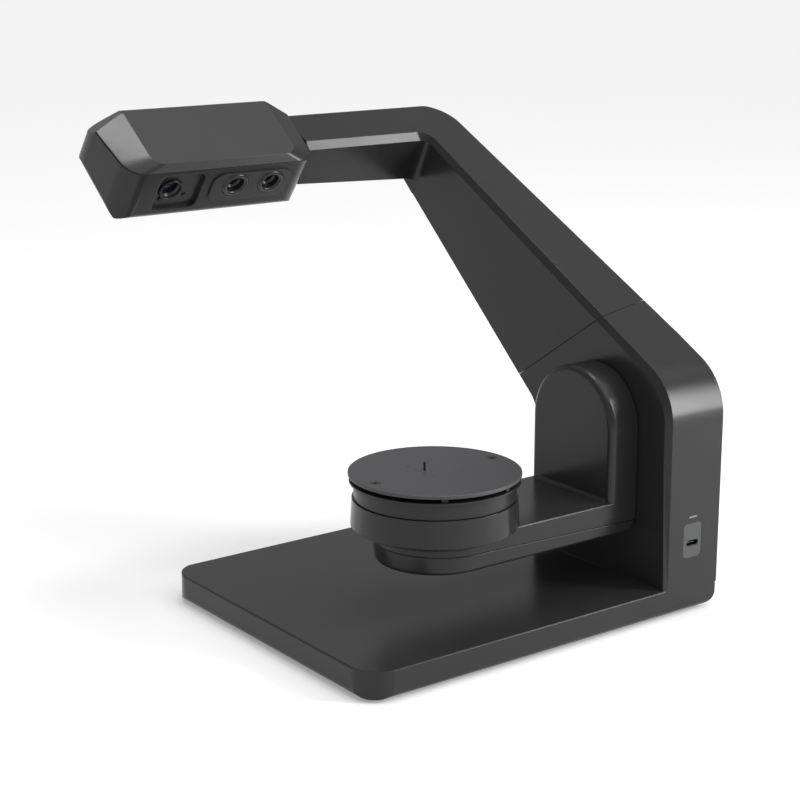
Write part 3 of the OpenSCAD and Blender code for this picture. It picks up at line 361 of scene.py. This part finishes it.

# %% [markdown]
# ## Which finish goes where
# The imported record says which node has which slot. One table turns slots into finishes, and every
# node takes its finish by assigning to its material slots. The screws and the pin that stand out
# dark in the picture share the slot of brighter metal parts, so they are dressed once more by name.
# The steel socket is dressed in the same dark metal as painted shade, for the shade in its mouth.

# %% Dress every node
FINISHES = {
    "housing_black": charcoal, "black_plastic": black_satin, "steel_plate": powder_black,
    "rubber": foot_rubber, "screw_steel": zinc, "cast_aluminium": cast_aluminium,
    "lens_tube": black_anodised, "lens_glass": coated_glass, "circuit_green": green_board,
    "brass_post": brass, "port_grey": port_grey, "socket_steel": ground_steel,
    "light_bar": milky_bar, "motor_black": motor_black, "belt_rubber": belt_rubber,
    "bearing_steel": ground_steel, "pulley_aluminium": turned_aluminium,
    "platter_grey": platter_grey, "spacer_black": spacer_black, "disc_grey": disc_grey}
SLOT_OF = {row["node"]: row["material_slot"] for row in frame["record"]["subparts"]}
BODY_OF = {member: body for body, members in frame["record"]["behaviour"]["bodies"].items()
           for member in members}


def wear(thing, material):
    thing.data.materials.clear()
    thing.data.materials.append(material)


for node_name, thing in nodes.items():
    wear(thing, FINISHES[SLOT_OF[node_name]])
# painted shade: the socket's steel shell is dressed dark, standing in for the shade in its mouth
DARK_METAL_AND_SOCKET_SHADE = ["projector_screws", "disc_screws", "fixture_pin", "data_socket"]
for node_name in DARK_METAL_AND_SOCKET_SHADE:
    wear(nodes[node_name], dark_screw)
print("dressed", len(nodes), "nodes, of them in dark metal:", DARK_METAL_AND_SOCKET_SHADE)

# %% [markdown]
# ## The frame of the head
# The head is tilted down at the turntable, and its cuts are easier to give in its own frame: x along
# the head to the right, y to the rear and z out of its flat top. One matrix carries them over.

# %% Frame of the head
HEAD_AT = Vector((-119.733, 80.469, 261.248)) * MM
HEAD_TILT = math.radians(38.0)
head_frame = Matrix.Translation(HEAD_AT) @ Matrix.Rotation(HEAD_TILT, 4, "X")
LENS_FACING = (head_frame.to_3x3() @ Vector((0.0, -1.0, 0.0))).normalized()
print("the lenses face", tuple(round(v, 3) for v in LENS_FACING))

# %% [markdown]
# ## A slanted cut at the rear corner
# A plane takes the rear right corner off the head. It only takes material away, so the head stays
# inside its solid. The cut opens the hollow of the shell, so a thin wall is set just behind it: the
# hull of the cut's corners at two depths. Cutting with a plane leaves a rim, which is filled.

# %% Cut a corner
HEAD_TOP_RIGHT = Vector((106.0, 47.9, 0.0)) * MM
HEAD_FACET = Vector((0.547, 0.573, 0.610))
WALL_DEPTHS = [0.05 * MM, 0.9 * MM]


def cut_away(bm, point, normal):
    geometry = [*bm.verts, *bm.edges, *bm.faces]
    cut = bmesh.ops.bisect_plane(bm, geom=geometry, plane_co=point, plane_no=normal,
                                 clear_outer=True)["geom_cut"]
    rim = [part for part in cut if isinstance(part, bmesh.types.BMEdge)]
    corners = [part.co.copy() for part in cut if isinstance(part, bmesh.types.BMVert)]
    bmesh.ops.triangle_fill(bm, edges=rim, use_beauty=True)
    return corners


def close_hollow(bm, corners, normal):
    behind = [bm.verts.new(corner - normal * depth) for depth in WALL_DEPTHS for corner in corners]
    hull = bmesh.ops.convex_hull(bm, input=behind)
    spare = {*hull["geom_interior"], *hull["geom_unused"]}
    bmesh.ops.delete(bm, geom=[*spare], context="VERTS")


def cut_corner(bm, into_mesh, hollow):
    point = into_mesh @ head_frame @ HEAD_TOP_RIGHT
    normal = ((into_mesh @ head_frame).to_3x3() @ HEAD_FACET).normalized()
    corners = cut_away(bm, point, normal)
    if hollow:
        close_hollow(bm, corners, normal)


print("the corner cut faces", tuple(HEAD_FACET), "in the frame of the head")

# %% [markdown]
# ## A round edge from straight cuts
# The lower edge of the head's end cap is round. A few planes side by side make it: each touches a
# cylinder that lies between the cap and the underside. How far those two reach is measured on the
# mesh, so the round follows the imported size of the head.

# %% Round the end cap
UNDER_ROUND = 6.5 * MM
UNDER_CUTS = 5
CAP_FACING = Vector((-0.986, -0.164, 0.0))
UNDER_FACING = Vector((0.0, 0.245, -0.970))


def round_underside(bm, into_mesh):
    turn = (into_mesh @ head_frame).to_3x3()
    cap, under = (turn @ CAP_FACING).normalized(), (turn @ UNDER_FACING).normalized()
    cap_reach = max(vert.co.dot(cap) for vert in bm.verts) - UNDER_ROUND
    under_reach = max(vert.co.dot(under) for vert in bm.verts) - UNDER_ROUND
    for i in range(UNDER_CUTS):
        share = (i + 1) / (UNDER_CUTS + 1)
        between = cap * (1 - share) + under * share
        normal = between / between.length
        reach = (cap_reach * (1 - share) + under_reach * share) / between.length + UNDER_ROUND
        cut_away(bm, normal * reach, normal)


print("the end cap is rounded by", UNDER_CUTS, "cuts to", round(UNDER_ROUND / MM, 2), "mm")

# %% [markdown]
# ## Flowing and sharp edges
# The solids carry their round corners as narrow flats, which gloss would show as stripes. Smooth
# shading makes them flow, and edges that turn by more than a set angle stay sharp. The head keeps
# more of its creases, and the edges of its large flat top are crisp even where a bevel leans away
# only a little.

# %% Creases
SHARP_TURN = math.radians(24.0)
HEAD_SHARP_TURN = math.radians(12.0)
FLAT_CREASE = math.radians(4.0)
LARGE_FACE = 250.0 * MM * MM


def meets_flat(edge):
    small, large = sorted(face.calc_area() for face in edge.link_faces)
    return large > LARGE_FACE and small < large / 2 and edge.calc_face_angle(0) > FLAT_CREASE


def crease(bm, sharp_turn, crisp_top):
    for face in bm.faces:
        face.smooth = True
    for edge in bm.edges:
        flows = len(edge.link_faces) == 2 and edge.calc_face_angle(0) < sharp_turn
        edge.smooth = flows and not (crisp_top and meets_flat(edge))


print("sharp from", round(math.degrees(SHARP_TURN)), "degrees, on the head from",
      round(math.degrees(HEAD_SHARP_TURN)))

# %% [markdown]
# ## Smooth moulded skins
# A skin is a copy of a node's mesh with its vertices merged and its flat triangles joined. Its
# normals are weighted by area, so that planes stay flat and the round corners flow between them. A
# skin takes the place, the finish and the body of its node.

# %% Skins
CREASED = ["head_shell", "head_top_cover"]
MERGE_GAP = 0.004 * MM
SAME_PLANE = math.radians(0.4)


def skin(node_name):
    source = nodes[node_name]
    into_mesh = source.matrix_world.inverted()
    mesh = bpy.data.meshes.new(node_name + "_skin")
    bm = bmesh.new()
    bm.from_mesh(source.data)
    bmesh.ops.remove_doubles(bm, verts=bm.verts, dist=MERGE_GAP)
    if node_name in CREASED:
        cut_corner(bm, into_mesh, hollow=node_name == "head_shell")
    if node_name == "head_shell":
        round_underside(bm, into_mesh)
    bmesh.ops.dissolve_limit(bm, angle_limit=SAME_PLANE, verts=bm.verts, edges=bm.edges)
    crease(bm, HEAD_SHARP_TURN if node_name in CREASED else SHARP_TURN,
           crisp_top=node_name == "head_top_cover")
    bm.to_mesh(mesh)
    bm.free()
    piece = bpy.data.objects.new(node_name + "_skin", mesh)
    bpy.context.scene.collection.objects.link(piece)
    weighted = piece.modifiers.new("flat planes", "WEIGHTED_NORMAL")
    weighted.keep_sharp = True
    weighted.weight = 100
    wear(piece, FINISHES[SLOT_OF[node_name]])
    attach(piece, BODY_OF[node_name])
    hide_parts(node_name)
    return piece


SKINS = ["lower_housing", "upper_cover", "neck_back_panel", "head_shell", "head_top_cover",
         "swing_arm", "swing_tray", "camera_frame", "projector_panel", "port_plate"]
skins = {name: skin(name) for name in SKINS}
print({name: len(piece.data.polygons) for name, piece in skins.items()})

# %% [markdown]
# ## Lens bezels
# Each camera looks through a soft rounded bezel and the projector sits behind a thin stepped ring.
# A bezel is one outline turned round the axis of its barrel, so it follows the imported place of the
# barrel. The two camera barrels are one node, so its points are sorted along the head and shared out
# by halves. The outline is a run of radius and rise in mm, from the bore over the crown to the foot.

# %% Find the barrels and turn a ring
RING_STEPS = 72


def islands(thing, count):
    along = (head_frame.to_3x3() @ Vector((1.0, 0.0, 0.0))).normalized()
    points = sorted(((thing.matrix_world @ v.co) for v in thing.data.vertices),
                    key=lambda p: p.dot(along))
    parts = [points[i * len(points) // count:(i + 1) * len(points) // count]
             for i in range(count)]
    centres = []
    for part in parts:
        front = max(p.dot(LENS_FACING) for p in part)
        low = Vector([min(p[i] for p in part) for i in range(3)])
        high = Vector([max(p[i] for p in part) for i in range(3)])
        middle = (low + high) / 2
        centres.append(middle + LENS_FACING * (front - middle.dot(LENS_FACING)))
    return centres


def turned_ring(name, centre, outline, material, rider):
    mesh = bpy.data.meshes.new(name)
    bm = bmesh.new()
    facing = LENS_FACING.to_track_quat("Z", "Y").to_matrix()
    rings = []
    for radius, rise in outline:
        ring = []
        for i in range(RING_STEPS):
            turn = 2 * math.pi * i / RING_STEPS
            local = Vector((radius * math.cos(turn), radius * math.sin(turn), rise)) * MM
            ring.append(bm.verts.new(centre + facing @ local))
        rings.append(ring)
    for one, two in zip(rings, rings[1:]):
        for i in range(RING_STEPS):
            after = (i + 1) % RING_STEPS
            bm.faces.new((one[i], one[after], two[after], two[i]))
    bmesh.ops.recalc_face_normals(bm, faces=bm.faces)
    for face in bm.faces:
        face.smooth = True
    bm.to_mesh(mesh)
    bm.free()
    piece = bpy.data.objects.new(name, mesh)
    bpy.context.scene.collection.objects.link(piece)
    wear(piece, material)
    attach(piece, BODY_OF[rider])
    return piece


camera_fronts = islands(nodes["camera_barrels"], 2)
projector_fronts = islands(nodes["projector_barrel"], 1)
print("camera fronts:", [[round(v, 4) for v in centre] for centre in camera_fronts])

# %% [markdown]
# ## Two kinds of bezel
# The crown of a bezel is half a turn of a flattened circle between its two radii. Two straight
# skirts run down from it into the frame, so no gap shows. The cameras have a wide, high crown, and
# the projector has a narrow, low one.

# %% Bezels
CROWN_STEPS = 7
SKIRT = 1.2


def crown(inner, outer, foot, top):
    middle, half = (inner + outer) / 2, (outer - inner) / 2
    turns = [math.pi * i / CROWN_STEPS for i in range(CROWN_STEPS + 1)]
    arc = [(middle - half * math.cos(turn), foot + (top - foot) * math.sin(turn))
           for turn in turns]
    return [(inner, foot - SKIRT), *arc, (outer, foot - SKIRT)]


CAMERA_CROWN = crown(inner=5.6, outer=8.8, foot=1.4, top=3.0)
PROJECTOR_CROWN = crown(inner=6.3, outer=7.4, foot=0.0, top=0.5)
bezels = []
for i, centre in enumerate(camera_fronts):
    bezels.append(turned_ring(f"camera_bezel_{i + 1}", centre, CAMERA_CROWN, black_satin,
                              "camera_frame"))
for centre in projector_fronts:
    bezels.append(turned_ring("projector_bezel", centre, PROJECTOR_CROWN, black_anodised,
                              "projector_barrel"))
print("bezels:", [(bezel.name, len(bezel.data.polygons)) for bezel in bezels])

# %% [markdown]
# ## Floor
# The product stands on a plain pale sheet. The sheet is a little brighter to the eye and in
# reflections than it is to the room, so it reads as white and still keeps the shadow.

# %% Floor
FLOOR_REACH = 30.0
FLOOR_GAP = 0.0002


def pale_floor():
    finish = Finish("pale_floor")
    mottle = finish.noise(scale=3.0, detail=2.0)
    rays = finish.tree.nodes.new("ShaderNodeLightPath").outputs
    camera_ray, glossy_ray, clear_ray = (
        Dial(finish, rays[kind])
        for kind in ("Is Camera Ray", "Is Glossy Ray", "Is Transmission Ray"))
    seen = camera_ray.maths("MAXIMUM", camera_ray, glossy_ray.maths("MAXIMUM", glossy_ray, clear_ray))
    finish.set(Base_Color=finish.blend(mottle, (0.80, 0.80, 0.80), (0.82, 0.82, 0.82)),
               Emission_Color=finish.blend(seen, (0.0, 0.0, 0.0), (1.0, 1.0, 1.0)))
    finish.set(Roughness=0.8, Emission_Strength=0.26, Specular_IOR_Level=0.1)
    return finish.material


floor_mesh = bpy.data.meshes.new("floor")
bm = bmesh.new()
bmesh.ops.create_grid(bm, x_segments=8, y_segments=8, size=FLOOR_REACH)
bm.to_mesh(floor_mesh)
bm.free()
floor = bpy.data.objects.new("floor", floor_mesh)
floor.location.z = cad_box[0].z - FLOOR_GAP
bpy.context.scene.collection.objects.link(floor)
wear(floor, pale_floor())
print("floor at", round(floor.location.z, 5))

# %% [markdown]
# ## Light
# A wide sun overhead and an even grey room light the floor and the colours at a plain level. Two
# soft boxes out of view draw the bands: one low on the right for the bend of the column, one above
# for the chamfers of the head. A box is placed by its direction from the middle of the scanner, the
# one that the surface would mirror into the camera, and its power follows from its size.

# %% Light
LIT_POINT = Vector((0.0, 0.0, 0.15))
ROOM_GREY = (0.4, 0.4, 0.4, 1.0)


def soft_box(name, direction, distance, size, radiance):
    lamp = bpy.data.lights.new(name, "AREA")
    lamp.shape = "RECTANGLE"
    lamp.size, lamp.size_y = size
    lamp.energy = radiance * math.pi * size[0] * size[1]
    thing = bpy.data.objects.new(name, lamp)
    along = Vector(direction).normalized()
    thing.location = LIT_POINT + along * distance
    thing.rotation_euler = (-along).to_track_quat("-Z", "Y").to_euler()
    thing.visible_camera = False
    bpy.context.scene.collection.objects.link(thing)
    return thing


def overhead(name, direction, strength, spread):
    lamp = bpy.data.lights.new(name, "SUN")
    lamp.energy, lamp.angle = strength, math.radians(spread)
    thing = bpy.data.objects.new(name, lamp)
    thing.rotation_euler = Vector(direction).to_track_quat("-Z", "Y").to_euler()
    bpy.context.scene.collection.objects.link(thing)
    return thing


lamps = [
    soft_box("right_box", (0.647, -0.707, 0.284), distance=1.65, size=(0.34, 1.05), radiance=18.0),
    soft_box("top_box", (0.080, 0.069, 0.994), distance=1.45, size=(0.30, 0.30), radiance=12.5),
    overhead("ceiling", (-0.15, 0.25, -1.0), strength=1.3, spread=70.0)]
world = bpy.data.worlds.new("studio")
world.use_nodes = True
background = world.node_tree.nodes["Background"].inputs
background["Color"].default_value = ROOM_GREY
background["Strength"].default_value = 1.0
bpy.context.scene.world = world
bpy.context.scene.view_settings.view_transform = "Standard"
print("lights:", [(lamp.name, round(lamp.data.energy, 2)) for lamp in lamps])
